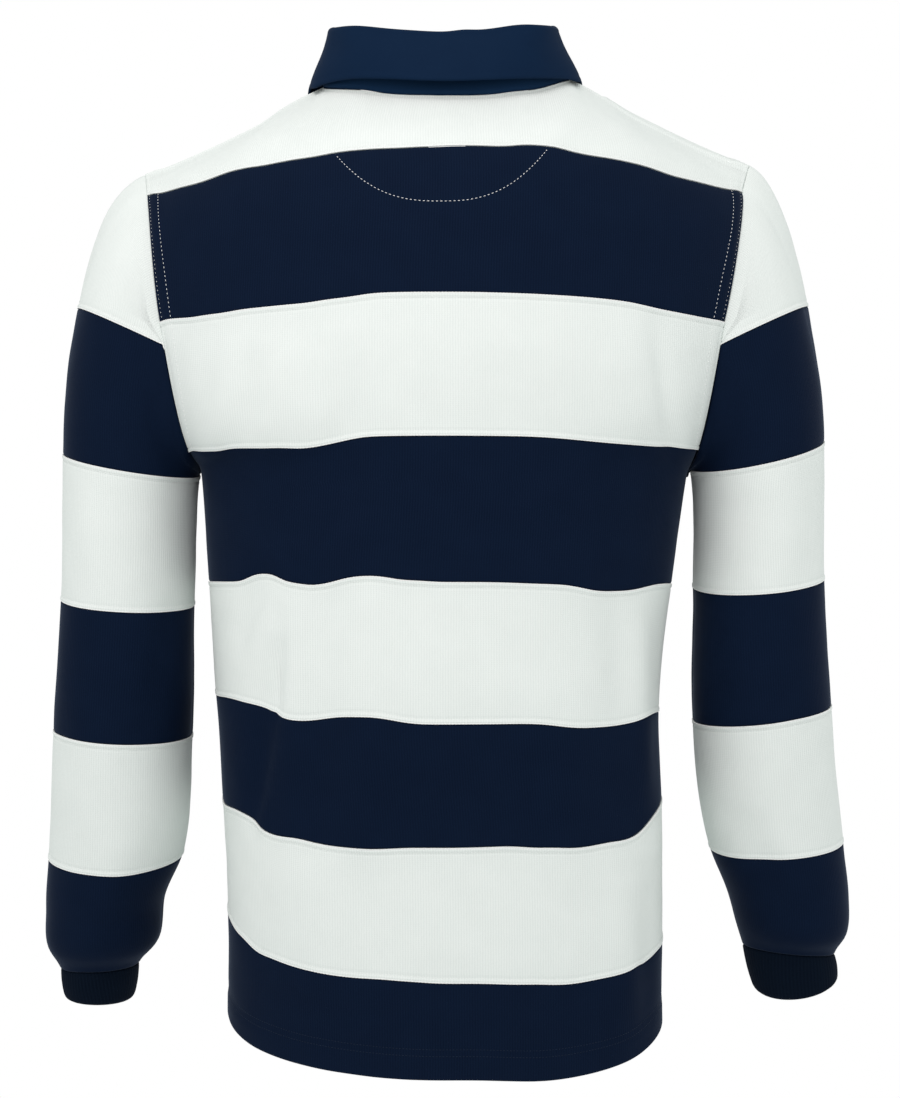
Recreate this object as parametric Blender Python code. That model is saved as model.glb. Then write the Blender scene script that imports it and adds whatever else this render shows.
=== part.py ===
"""Long-sleeved striped rugby shirt, hollow as worn. Metres, +Z up, the wearer faces -Y.

The origin is where the wearer's neck and shoulders hold it: the middle of the neck opening,
level with the shoulder neck points.
"""

import math

import bmesh
import bpy
import numpy as np
from mathutils import Vector

# ---- driving sizes ----
CLOTH = 0.0016  # wall of the knit panels
RIB = 0.0024  # wall of the cuffs
TWILL = 0.0018  # wall of the collar and the placket
SEAM_GAP = 0.0003  # clear between pieces at a seam
HALF_COLUMNS = 10  # columns from the centre line to a side
NECK_COLUMNS = 5  # of these, the ones that end on the neckline
NECK_HALF = 0.097
BACK_NECK = {"depth": 0.056, "drop": 0.021}
FRONT_NECK = {"depth": 0.086, "drop": 0.066}
SHOULDER_TIP = {1: (0.2375, 0.000, -0.0670), -1: (0.2375, 0.010, -0.0625)}
# The front rolls over the shoulder ahead of its seam: forward and up from the seam.
SHOULDER_ROLL = {1: (-0.022, -0.002), -1: (-0.018, 0.009)}
# The top edge stands up beside the neck: x, width, how far.
NECK_RISE = [
    (0.070, 0.022, 0.0042),
    (0.120, 0.020, 0.0040),
    (-0.068, 0.018, 0.0028),
    (-0.108, 0.030, 0.0060),
    (-0.135, 0.050, 0.0035),
]
BUTTON_RADIUS, BUTTON_THICK = 0.0058, 0.0030
PLACKET_WIDTH, PLACKET_LENGTH = 0.032, 0.150
PLACKET_TOP = 0.0045  # below the neckline
PLACKET_OFF = 0.0010  # off the panel under it

# ---- the form ----
# Levels from the top edge to the hem: rows of faces down to the next level.
ROWS = {"top": 2, "1": 4, "2": 4, "3": 1, "arm": 2, "4": 2, "5": 2, "6": 2, "7": 2}
LEVELS = [*ROWS, "hem"]
BANDS = [("top", "1"), ("1", "2"), ("2", "3"), ("3", "4"), ("4", "5"), ("5", "6"), ("6", "7")]
BANDS.append(("7", "hem"))

# Armhole edges: half width, shift to +X, y on the back, y on the front, z at +X, z at -X.
ARMHOLE = {
    "1": (0.2290, 0.0010, 0.030, -0.030, -0.0905, -0.0880),
    "2": (0.2115, 0.0027, 0.062, -0.060, -0.1925, -0.1925),
    "3": (0.1945, 0.0017, 0.036, -0.040, -0.2880, -0.2860),
    "arm": (0.1905, 0.0015, 0.000, 0.000, -0.3000, -0.3050),
}
# Side seams: half width, shift to +X, z at +X, z at -X.
SIDES = {
    "4": (0.1809, 0.0045, -0.3880, -0.3900),
    "5": (0.1729, 0.0067, -0.4735, -0.4890),
    "6": (0.1707, 0.0036, -0.5530, -0.5530),
    "7": (0.1695, 0.0012, -0.6410, -0.6620),
    "hem": (0.1692, 0.0014, -0.7210, -0.7240),
}
# Centre lines: y, z, and how round the panel is towards +X and towards -X (1 is elliptical,
# less is squarer).
BACK = {
    "1": (0.1150, -0.0740, 1.40, 1.30),
    "2": (0.1340, -0.1820, 1.35, 1.20),
    "3": (0.1340, -0.2830, 0.90, 0.90),
    "arm": (0.1330, -0.2990, 0.90, 0.90),
    "4": (0.1280, -0.3860, 0.85, 0.85),
    "5": (0.1330, -0.4860, 0.85, 0.72),
    "6": (0.1220, -0.5750, 0.85, 0.62),
    "7": (0.1270, -0.6700, 0.88, 0.62),
    "hem": (0.1200, -0.7410, 0.90, 0.66),
}
FRONT = {
    "1": (-0.1060, -0.0990, 0.95, 0.95),
    "2": (-0.1260, -0.1880, 0.85, 0.85),
    "3": (-0.1290, -0.2870, 0.80, 0.80),
    "arm": (-0.1280, -0.3010, 0.80, 0.80),
    "4": (-0.1220, -0.3880, 0.82, 0.82),
    "5": (-0.1230, -0.4880, 0.82, 0.82),
    "6": (-0.1190, -0.5760, 0.82, 0.82),
    "7": (-0.1170, -0.6700, 0.82, 0.82),
    "hem": (-0.1120, -0.7380, 0.82, 0.82),
}
# How far round its arc a panel's edge lies: 90 is a side seam, less is an armhole edge.
EDGE_ANGLE = {"1": 62, "2": 66, "3": 80, "arm": 90}
EDGE_LIFT = 2.0  # how late a seam line leaves its centre height for its edge height

# The largest folds, on the back: x and z at the top, x and z at the bottom, width, depth.
FOLDS = {
    "left crease": (0.122, -0.425, 0.134, -0.545, 0.012, -0.006),
    "right drape": (-0.128, -0.390, -0.140, -0.520, 0.022, 0.005),
}

# Sleeve seams B to E, the cuff join and the cuff's end: outer x, inner x, y of the middle,
# half depth, z at the outer side, z at the inner side, z at the back.
LEFT_SLEEVE = {
    "B": (0.3015, 0.1955, -0.002, 0.058, -0.2865, -0.3055, -0.3030),
    "C": (0.3030, 0.1998, -0.004, 0.058, -0.4030, -0.4060, -0.4100),
    "D": (0.3108, 0.2030, -0.010, 0.058, -0.5070, -0.5090, -0.5100),
    "E": (0.3168, 0.2120, -0.020, 0.055, -0.6150, -0.6030, -0.6140),
    "full": (0.3210, 0.2320, -0.032, 0.050, -0.6680, -0.6650, -0.6700),
    "join": (0.3120, 0.2505, -0.036, 0.036, -0.7010, -0.7000, -0.6980),
    "end": (0.3100, 0.2555, -0.042, 0.034, -0.7255, -0.7275, -0.7235),
}
RIGHT_SLEEVE = {
    "B": (0.2975, 0.1930, -0.002, 0.058, -0.2780, -0.3010, -0.2985),
    "C": (0.2975, 0.1965, -0.004, 0.058, -0.3870, -0.3940, -0.3970),
    "D": (0.3045, 0.1970, -0.008, 0.058, -0.4875, -0.4995, -0.4955),
    "E": (0.3172, 0.2125, -0.016, 0.055, -0.5980, -0.6030, -0.6005),
    "full": (0.3228, 0.2340, -0.028, 0.050, -0.6560, -0.6540, -0.6560),
    "join": (0.3140, 0.2410, -0.032, 0.036, -0.6900, -0.6840, -0.6830),
    "end": (0.3180, 0.2505, -0.038, 0.034, -0.7125, -0.7220, -0.7190),
}
# The seam between cap and second band: z at the armhole, z at the outer side.
CAP_SEAM = {1: (-0.2085, -0.1680), -1: (-0.2080, -0.1655)}
# How the cap turns down the arm, less is flatter: at the armhole and at seam B.
CAP_CURVE = {1: (0.20, 0.36), -1: (0.255, 0.32)}
CAP_ROWS = 3
SLEEVE_ROWS = {"A": 3, "B": 2, "C": 2, "D": 2, "E": 2, "full": 1, "join": 2}

# The collar's fold all round from its right front end, and the leaf's edge from shoulder to
# shoulder over the back: column, x, y, z. The front of the leaf lies on the yoke.
CREST = [
    (-10, -0.0080, -0.0740, -0.0310),
    (-8, -0.0640, -0.0500, 0.0060),
    (-6, -0.0830, -0.0150, 0.0385),
    (-5, -0.0840, 0.0060, 0.0470),
    (-4, -0.0800, 0.0260, 0.0417),
    (-3, -0.0735, 0.0400, 0.0370),
    (0, 0.0, 0.0500, 0.0290),
    (3, 0.0745, 0.0400, 0.0366),
    (4, 0.0840, 0.0260, 0.0408),
    (5, 0.0885, 0.0060, 0.0460),
    (6, 0.0860, -0.0150, 0.0375),
    (8, 0.0640, -0.0500, 0.0040),
    (10, 0.0080, -0.0740, -0.0310),
]
LEAF_EDGE = [
    (-5, -0.1075, -0.0020, 0.0078),
    (-4, -0.0975, 0.0260, 0.0010),
    (-3, -0.0800, 0.0500, -0.0062),
    (0, 0.0, 0.0790, -0.0166),
    (3, 0.0800, 0.0500, -0.0076),
    (4, 0.0975, 0.0260, -0.0030),
    (5, 0.1085, -0.0020, 0.0022),
]
# The leaf's edge on the front yoke, from its point to the shoulder: column, share of the
# yoke's height, distance off the cloth.
LEAF_FRONT = [
    (2.9, 1.05, 0.0060),
    (3.7, 0.84, 0.0055),
    (4.3, 0.62, 0.0050),
    (4.8, 0.42, 0.0092),
    (5.2, 0.26, 0.0120),
]
ROLL = 0.0048  # half the thickness of the fold over the stand
LEAF_BULGE = 0.0020  # how far the middle of the leaf stands out of a straight line
COLLAR_OFF = 0.0006  # the stand's foot off the neckline
COLLAR_END = 0.15  # column where the collar ends beside the centre front

NAVY, WHITE = (0.009, 0.017, 0.036, 1), (0.82, 0.84, 0.82, 1)
TWILL_NAVY, RUBBER = (0.012, 0.026, 0.055, 1), (0.80, 0.80, 0.76, 1)


def through(points, at_each):
    """Smooth curve through the points, each segment cut as at_each says."""
    points = np.array(points, float)
    knots = np.r_[0, np.cumsum(np.linalg.norm(np.diff(points, axis=0), axis=1))]
    slope = np.gradient(points, knots, axis=0) if len(points) > 2 else None
    if slope is None:
        slope = np.repeat((points[1:] - points[:1]) / knots[1], 2, axis=0)
    out = [points[0]]
    for i, parts in enumerate(at_each):
        span = knots[i + 1] - knots[i]
        for t in np.arange(1, parts + 1) / parts:
            out.append(
                (2 * t**3 - 3 * t**2 + 1) * points[i]
                + (t**3 - 2 * t**2 + t) * span * slope[i]
                + (3 * t**2 - 2 * t**3) * points[i + 1]
                + (t**3 - t**2) * span * slope[i + 1]
            )
    return out


def top_edge(k, neck, back):
    """Point of the neckline or shoulder seam in column k."""
    side, n = math.copysign(1, k), abs(k)
    if n <= NECK_COLUMNS:
        a = math.radians(90 * n / NECK_COLUMNS)
        y = neck["depth"] * math.cos(a) ** 0.9 if n < NECK_COLUMNS else 0
        x, y = side * NECK_HALF * math.sin(a), y if back else -y
        z = -neck["drop"] * math.cos(a) ** 0.9
    else:
        q = (n - NECK_COLUMNS) / (HALF_COLUMNS - NECK_COLUMNS)
        tip, y, z = SHOULDER_TIP[side]
        x, y = side * (NECK_HALF + (tip - NECK_HALF) * q), y * q
        z *= 1.25 * q - 0.25 * q**2
    z += sum(up * math.exp(-(abs((x - at) / width) ** 3)) for at, width, up in NECK_RISE)
    return (x, y, z)


def edge_point(level, side, back):
    if level in ARMHOLE:
        half, shift, y_back, y_front, z_left, z_right = ARMHOLE[level]
        y = y_back if back else y_front
    else:
        half, shift, z_left, z_right = SIDES[level]
        y = 0
    return (shift + side * half, y, z_left if side > 0 else z_right)


def level_point(level, k, back):
    """Point of a seam line in column k of the back or the front."""
    if level == "top":
        return top_edge(k, BACK_NECK if back else FRONT_NECK, back)
    y_mid, z_mid, *full = (BACK if back else FRONT)[level]
    fullness = full[0] if k > 0 else full[1]
    s = k / HALF_COLUMNS
    x1, y1, z1 = edge_point(level, math.copysign(1, k), back)
    if abs(s) == 1:
        return (x1, y1, z1)
    shift = edge_point(level, 1, back)[0] + edge_point(level, -1, back)[0]
    end = math.radians(EDGE_ANGLE.get(level, 90))
    across = math.sin(abs(s) * end) / math.sin(end)
    low = math.cos(end) ** fullness if end < math.pi / 2 - 1e-6 else 0
    rise = (math.cos(s * end) ** fullness - low) / (1 - low)
    x = shift / 2 + (x1 - shift / 2) * across
    return (x, y1 + (y_mid - y1) * rise, z_mid + (z1 - z_mid) * abs(s) ** EDGE_LIFT)


def folded(point):
    """Moves a point of the back out or in by the folds near it."""
    x, y, z = point
    for x0, z0, x1, z1, width, depth in FOLDS.values():
        along = np.clip((z - z0) / (z1 - z0), 0, 1)
        near = math.exp(-(((x - x0 - along * (x1 - x0)) / width) ** 2))
        length = max(0.0, math.sin(math.pi * np.clip((z - z0) / (z1 - z0), 0, 1)))
        y += depth * near * length
    return (x, y, z)


def panel(back):
    """Grid of points, rows from the top edge to the hem, columns from -X to +X."""
    parts = [ROWS[level] for level in LEVELS[:-1]]
    arm = LEVELS.index("arm")
    columns = []
    for k in range(-HALF_COLUMNS, HALF_COLUMNS + 1):
        points = [level_point(level, k, back) for level in LEVELS]
        if abs(k) == HALF_COLUMNS:
            column = through(points[: arm + 1], parts[:arm])
            column += through(points[arm:], parts[arm:])[1:]
        else:
            column = through(points, parts)
            if back:
                column = [folded(p) for p in column]
        if not back and abs(k) > NECK_COLUMNS:
            q = (abs(k) - NECK_COLUMNS) / (HALF_COLUMNS - NECK_COLUMNS)
            ahead, up = SHOULDER_ROLL[math.copysign(1, k)]
            column[1] = column[0] + np.array([0, ahead, up * math.sin(math.pi * (0.2 + 0.6 * q))])
        columns.append(column)
    return np.array(columns).transpose(1, 0, 2)


def row_of(level):
    return sum(ROWS[name] for name in LEVELS[: LEVELS.index(level)])


def ring(row, angles, side):
    """Ring round the arm: angle 0 is the outer side, a quarter turn is the back."""
    x_out, x_in, y, depth, z_out, z_in, z_back = row
    x = (x_out + x_in) / 2 + (x_out - x_in) / 2 * np.cos(angles)
    z_mid = (z_out + z_in) / 2
    z = z_mid + (z_out - z_in) / 2 * np.cos(angles) + (z_back - z_mid) * np.sin(angles)
    return np.stack([side * x, y + depth * np.sin(angles), z], 1)


def sleeve(side, armhole, table):
    """Rows of points from the armhole to the cuff, and each seam's row. Starts at the shoulder
    tip and goes down the back first."""
    count = len(armhole)
    steps = np.linalg.norm(np.roll(armhole, -1, 0) - armhole, axis=1)
    half = row_of("arm")
    travel = np.r_[0, np.cumsum(steps)]
    turned = [
        math.pi * travel[j] / travel[half]
        if j <= half
        else math.pi * (1 + (travel[j] - travel[half]) / (travel[count] - travel[half]))
        for j in range(count)
    ]
    turned = np.array(turned)
    first = ring(table["B"], turned, side)
    below = ring(table["C"], turned, side)
    # each column leaves the armhole outwards and turns down the arm
    over, back = np.cos(turned)[:, None], np.sin(turned)[:, None]
    lift = (1 + over) / 2
    leave = np.concatenate([side * (0.30 + 0.64 * lift), 0.10 * back, -0.95 + 0.61 * lift], 1)
    leave /= np.linalg.norm(leave, axis=1)[:, None]
    drop, stay = CAP_CURVE[side]
    handle = 0.42 - drop * lift**2
    arrive = (below - first) / np.linalg.norm(below - first, axis=1)[:, None]
    reach = np.linalg.norm(first - armhole, axis=1)[:, None]

    def at(t):
        t = np.asarray(t, float).reshape(-1, 1)
        a, b = armhole + handle * reach * leave, first - stay * reach * arrive
        return (
            (1 - t) ** 3 * armhole
            + 3 * t * (1 - t) ** 2 * a
            + 3 * t**2 * (1 - t) * b
            + t**3 * first
        )

    # the cap seam is a tilted plane, met by each column at its own share
    z_arm, z_out = CAP_SEAM[side]
    x_arm, x_out = armhole[row_of("2") + 1][0], first[0][0]
    meet = np.zeros(count)
    low, high = np.zeros(count), np.ones(count)

    def above(t):
        p = at(t)
        share = (p[:, 0] - x_arm) / (x_out - x_arm)
        return p[:, 2] - z_arm - (z_out - z_arm) * np.clip(share, -0.2, 1.2)

    has_cap = above(np.zeros(count)) > 0.002
    for _ in range(40):
        middle = (low + high) / 2
        up = above(middle) > 0
        low, high = np.where(up, middle, low), np.where(up, high, middle)
    meet = np.where(has_cap, (low + high) / 2, 0)

    rows, marks = [armhole], {"armhole": 0}
    for i in range(1, CAP_ROWS + 1):
        rows.append(at(meet * i / CAP_ROWS))
    marks["A"] = len(rows) - 1
    for i in range(1, SLEEVE_ROWS["A"] + 1):
        rows.append(at(meet + (1 - meet) * i / SLEEVE_ROWS["A"]))
    marks["B"] = len(rows) - 1

    keys = ["B", "C", "D", "E", "full"]
    rings = [ring(table[key], turned, side) for key in keys]
    above_b = at(np.full(count, 0.9))
    parts = [1] + [SLEEVE_ROWS[key] for key in keys[:-1]]
    columns = [through([above_b[j], *(r[j] for r in rings)], parts)[2:] for j in range(count)]
    rows += list(np.array(columns).transpose(1, 0, 2))
    for before, key in zip(keys, ["C", "D", "E"], strict=False):
        marks[key] = marks[before] + SLEEVE_ROWS[before]
    for key in ("join", "end"):
        parts = SLEEVE_ROWS["full" if key == "join" else "join"]
        last, stop = rows[-1], ring(table[key], turned, side)
        rows += [last + (stop - last) * i / parts for i in range(1, parts + 1)]
        marks[key] = len(rows) - 1
    return np.array(rows), marks


class Garment:
    """One welded surface. Each face knows its piece, so that neighbours share their normals."""

    def __init__(self):
        self.mesh = bmesh.new()
        self.tag = self.mesh.faces.layers.int.new("piece")
        self.names = []
        self.points = {}

    def vertex(self, point):
        key = tuple(round(float(c) * 1e6) for c in point)
        if key not in self.points:
            self.points[key] = self.mesh.verts.new([float(c) for c in point])
        return self.points[key]

    def add(self, name, grid, closed=False, flip=False):
        """Faces of a grid of rows, skipping those that have no width."""
        self.names.append(name)
        rows, count = len(grid), len(grid[0])
        for i in range(rows - 1):
            for j in range(count if closed else count - 1):
                n = (j + 1) % count
                corners = [grid[i][j], grid[i][n], grid[i + 1][n], grid[i + 1][j]]
                verts = []
                for v in map(self.vertex, corners):
                    if v not in verts:
                        verts.append(v)
                if len(verts) < 3:
                    continue
                face = self.mesh.faces.new(verts[::-1] if flip else verts)
                face[self.tag] = len(self.names) - 1

    def shells(self, walls):
        """A closed solid for each piece: the surface outside, the wall's thickness inwards."""
        mesh = self.mesh
        mesh.verts.index_update()
        mesh.normal_update()
        inward = {}
        for v in mesh.verts:
            grow = min(v.calc_shell_factor(), 1.6)
            inward[v] = v.normal * -grow
        for index, name in enumerate(self.names):
            faces = [f for f in mesh.faces if f[self.tag] == index]
            moved = trimmed(faces)
            yield name, shell(faces, moved, inward, walls(name))


def trimmed(faces):
    """Vertex places of one piece, its border drawn in by half the seam gap."""
    own = set(faces)
    moved = {v: v.co.copy() for f in faces for v in f.verts}
    pull = {}
    for f in faces:
        for loop in f.loops:
            if sum(other in own for other in loop.edge.link_faces) == 1:
                a, b = loop.vert, loop.link_loop_next.vert
                side = f.normal.cross(b.co - a.co).normalized()
                pull.setdefault(a, []).append(side)
                pull.setdefault(b, []).append(side)
    for v, sides in pull.items():
        mean = sum(sides, Vector()).normalized()
        keep = max(mean.dot(sides[0]), 0.4)
        moved[v] += mean * (SEAM_GAP / 2 / keep)
    return moved


def shell(faces, moved, inward, wall):
    out = bmesh.new()
    top = {v: out.verts.new(p) for v, p in moved.items()}
    low = {v: out.verts.new(p + inward[v] * wall) for v, p in moved.items()}
    own = set(faces)
    for f in faces:
        out.faces.new([top[v] for v in f.verts])
        out.faces.new([low[v] for v in reversed(f.verts)])
        for loop in f.loops:
            if sum(other in own for other in loop.edge.link_faces) == 1:
                a, b = loop.vert, loop.link_loop_next.vert
                # both sides of a seam cut this strip along the same diagonal
                if a.index < b.index:
                    ends = [(top[b], top[a], low[b]), (top[a], low[a], low[b])]
                else:
                    ends = [(top[b], top[a], low[a]), (top[b], low[a], low[b])]
                for end in ends:
                    out.faces.new(end)
    return out


def around_neck(stations):
    """Smooth line through the stations, one point for each column."""
    parts = [b[0] - a[0] for a, b in zip(stations, stations[1:], strict=False)]
    return np.array(through([row[1:] for row in stations], parts))


def collar(front):
    """Rows of points from the stand's foot inside the neck, over the fold, to the leaf's edge."""
    n = NECK_COLUMNS
    feet = [top_edge(k, BACK_NECK, True) for k in range(-n, n + 1)]
    ends = [*range(n - 1, 0, -1), COLLAR_END]
    feet = [top_edge(-k, FRONT_NECK, False) for k in ends[::-1]] + feet
    feet += [top_edge(k, FRONT_NECK, False) for k in ends]
    crests = around_neck(CREST)
    edge = around_neck(LEAF_EDGE)
    points = [on_yoke(front, *row) for row in LEAF_FRONT]
    other = [on_yoke(front, -k, share, off) for k, share, off in LEAF_FRONT]
    edges = np.array([*other, *edge, *points[::-1]])
    feet = np.array(feet)
    out = np.cross(np.gradient(crests, axis=0), (0, 0, 1))
    out *= np.sign((out * (crests - crests.mean(0))).sum(1))[:, None]
    out /= np.linalg.norm(out, axis=1)[:, None]
    up = np.array((0, 0, 1))
    low = feet - out * TWILL + up * COLLAR_OFF
    inner, outer = crests - out * ROLL - up * ROLL, crests + out * ROLL - up * ROLL
    leaf = (outer + edges) / 2 + out * LEAF_BULGE
    return np.array([low, (low + inner) / 2, inner, crests, outer, leaf, edges])


def on_yoke(grid, k, share, off):
    """Point off the front, in column k and that share of the way down the yoke."""
    row = share * row_of("1")
    j, i = k + HALF_COLUMNS, min(int(row), row_of("1") + 2)
    c = min(int(math.floor(j)), 2 * HALF_COLUMNS - 1)
    u, v = j - c, row - i
    p00, p01, p10, p11 = grid[i][c], grid[i][c + 1], grid[i + 1][c], grid[i + 1][c + 1]
    point = (p00 * (1 - u) + p01 * u) * (1 - v) + (p10 * (1 - u) + p11 * u) * v
    across = (p01 - p00) * (1 - v) + (p11 - p10) * v
    down = (p10 - p00) * (1 - u) + (p11 - p01) * u
    normal = np.cross(down, across)
    normal /= np.linalg.norm(normal)
    normal *= -1 if normal[1] > 0 else 1
    return point + normal * off


def front_at(grid, x, z):
    """Point of the front panel at a given x and z, and its outward normal."""
    for row in range(len(grid) - 1):
        for c in range(2 * HALF_COLUMNS):
            p = grid[row][c], grid[row][c + 1], grid[row + 1][c], grid[row + 1][c + 1]
            if not p[0][0] - 1e-9 <= x <= p[1][0] + 1e-9:
                continue
            u = (x - p[0][0]) / (p[1][0] - p[0][0])
            high = p[0] * (1 - u) + p[1] * u
            low = p[2] * (1 - u) + p[3] * u
            if low[2] <= z <= high[2] + 1e-9:
                normal = np.cross(p[1] - p[0], low - high)
                normal *= -math.copysign(1, normal[1]) / np.linalg.norm(normal)
                return high + (low - high) * (high[2] - z) / (high[2] - low[2]), normal


def colour(name, base, rough=0.85):
    m = bpy.data.materials.new(name)
    m.use_nodes = True
    shader = m.node_tree.nodes["Principled BSDF"]
    shader.inputs["Base Color"].default_value = base
    shader.inputs["Roughness"].default_value = rough
    m.diffuse_color = base
    return m


def keep(name, mesh, material, collection):
    data = bpy.data.meshes.new(name)
    mesh.to_mesh(data)
    mesh.free()
    ob = bpy.data.objects.new(name, data)
    data.materials.append(material)
    collection.objects.link(ob)
    return ob


def placket(front):
    """A strip on the front panel's points, moved out, from the neckline down."""
    top = FRONT_NECK["drop"] + PLACKET_TOP
    columns = [-PLACKET_WIDTH / 2, 0.0, PLACKET_WIDTH / 2]
    grid = []
    for z in np.linspace(-top, -top - PLACKET_LENGTH, 9):
        places = [front_at(front, x, z) for x in columns]
        grid.append([p + n * (PLACKET_OFF + TWILL) for p, n in places])
    return grid


def button(place, lean):
    """A low disc with a rim, its flat back towards the placket."""
    mesh = bmesh.new()
    profile = [
        (0, 0), (BUTTON_RADIUS * 0.92, 0), (BUTTON_RADIUS, 0.0008),
        (BUTTON_RADIUS, BUTTON_THICK - 0.0006), (BUTTON_RADIUS * 0.9, BUTTON_THICK),
        (BUTTON_RADIUS * 0.72, BUTTON_THICK - 0.0004), (0, BUTTON_THICK - 0.0006),
    ]
    count = 16
    rings = []
    for r, h in profile:
        if r == 0:
            rings.append([mesh.verts.new((0, -h, 0))] * count)
            continue
        turn = [2 * math.pi * i / count for i in range(count)]
        rings.append([mesh.verts.new((r * math.cos(a), -h, r * math.sin(a))) for a in turn])
    for a, b in zip(rings, rings[1:], strict=False):
        for i in range(count):
            n = (i + 1) % count
            verts = list(dict.fromkeys([a[i], a[n], b[n], b[i]]))
            mesh.faces.new(verts)
    for v in mesh.verts:
        y, z = v.co.y, v.co.z
        v.co.y = y * math.cos(lean) - z * math.sin(lean) + place[1]
        v.co.z = y * math.sin(lean) + z * math.cos(lean) + place[2]
        v.co.x += place[0]
    return mesh


def build():
    for ob in list(bpy.data.objects):
        bpy.data.objects.remove(ob)
    shirt = bpy.data.collections.new("rugby_shirt")
    bpy.context.scene.collection.children.link(shirt)

    back, front = panel(True), panel(False)
    body = Garment()
    for number, (start, stop) in enumerate(BANDS, 1):
        a, b = row_of(start), row_of(stop)
        body.add(f"back_{number}", back[a : b + 1])
        body.add(f"front_{number}", front[a : b + 1], flip=True)
    arm = row_of("arm")
    for side, word, table in ((1, "left", LEFT_SLEEVE), (-1, "right", RIGHT_SLEEVE)):
        edge = -1 if side > 0 else 0
        armhole = np.array([*back[: arm + 1, edge], *front[1:arm, edge][::-1]])
        rows, marks = sleeve(side, armhole, table)
        seams = ["armhole", "A", "B", "C", "D", "E", "join", "end"]
        for number, (start, stop) in enumerate(zip(seams, seams[1:], strict=False), 1):
            name = f"{word}_sleeve_{number}" if stop != "end" else f"{word}_cuff"
            grid = rows[marks[start] : marks[stop] + 1]
            body.add(name, grid, closed=True, flip=side > 0)

    cloths = {
        "white": colour("white knit", WHITE),
        "navy": colour("navy knit", NAVY),
        "rib": colour("navy rib", NAVY, 0.9),
        "twill": colour("navy twill", TWILL_NAVY, 0.7),
        "rubber": colour("rubber", RUBBER, 0.5),
    }
    for name, mesh in body.shells(lambda n: RIB if n.endswith("cuff") else CLOTH):
        number = name.split("_")[-1]
        key = "rib" if number == "cuff" else ("white" if int(number) % 2 else "navy")
        keep(name, mesh, cloths[key], shirt)

    rows = collar(front)
    neck = Garment()
    neck.add("collar_stand", rows[:3], flip=True)
    neck.add("collar_leaf", rows[2:], flip=True)
    for name, mesh in neck.shells(lambda n: TWILL):
        keep(name, mesh, cloths["twill"], shirt)

    strip = Garment()
    strip_rows = placket(front)
    strip.add("placket", strip_rows, flip=True)
    for name, mesh in strip.shells(lambda n: TWILL):
        keep(name, mesh, cloths["twill"], shirt)
    for number, row in enumerate((1, 4, 7), 1):
        here, below = strip_rows[row][1], strip_rows[row + 1][1]
        lean = math.atan2(here[1] - below[1], here[2] - below[2])
        place = here + np.array([0, -SEAM_GAP, 0])
        keep(f"button_{number}", button(place, -lean), cloths["rubber"], shirt)


build()
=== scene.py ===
import math
import bmesh
import bpy
import numpy as np
from mathutils import Matrix, Vector, noise
from mathutils.bvhtree import BVHTree


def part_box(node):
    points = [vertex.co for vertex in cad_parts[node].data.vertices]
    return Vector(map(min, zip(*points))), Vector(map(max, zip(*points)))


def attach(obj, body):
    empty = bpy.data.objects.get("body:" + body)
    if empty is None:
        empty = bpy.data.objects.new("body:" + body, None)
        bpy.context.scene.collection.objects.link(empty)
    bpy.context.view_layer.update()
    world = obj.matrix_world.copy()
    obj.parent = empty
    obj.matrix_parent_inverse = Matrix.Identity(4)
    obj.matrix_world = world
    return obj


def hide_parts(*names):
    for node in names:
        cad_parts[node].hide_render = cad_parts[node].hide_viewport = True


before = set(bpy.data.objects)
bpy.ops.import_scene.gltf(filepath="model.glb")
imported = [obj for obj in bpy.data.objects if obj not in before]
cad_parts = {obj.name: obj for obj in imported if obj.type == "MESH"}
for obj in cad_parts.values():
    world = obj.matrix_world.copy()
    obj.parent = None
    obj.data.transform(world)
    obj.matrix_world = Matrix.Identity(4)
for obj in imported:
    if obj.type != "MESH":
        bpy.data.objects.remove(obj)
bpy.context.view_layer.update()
print("frame loaded:", len(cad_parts), "nodes")

# Long-sleeved striped rugby shirt, hollow as worn. +X is the wearer's left, the wearer faces -Y.
# Metres. The origin is the middle of the neck opening, level with the shoulder neck points.

cloth = {
    "wall": 0.0014,  # knit panels
    "ribWall": 0.0022,
    "twillWall": 0.0018,
    "seamGap": 0.00006,  # each border is drawn in by this much
    "step": 0.0045,  # grid spacing away from the seams
    "samples": 24,  # samples along each span of a form curve
    "squeezeBelow": 2.4,  # a band shorter than this many border strips has them drawn together
    "creaseEnds": 0.8,  # how quickly a crease fades in and out along its run
    "uneven": [(16, 0.0007), (47, 0.00025)],  # how fine, how high
    "weld": 0.00001,
    "tiny": 0.000005,
    # grid lines that follow a border, by their distance from it
    "borderLines": [0.00006, 0.0006, 0.0012, 0.002, 0.0029, 0.004, 0.0052, 0.0068, 0.008, 0.0098],
}

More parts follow.
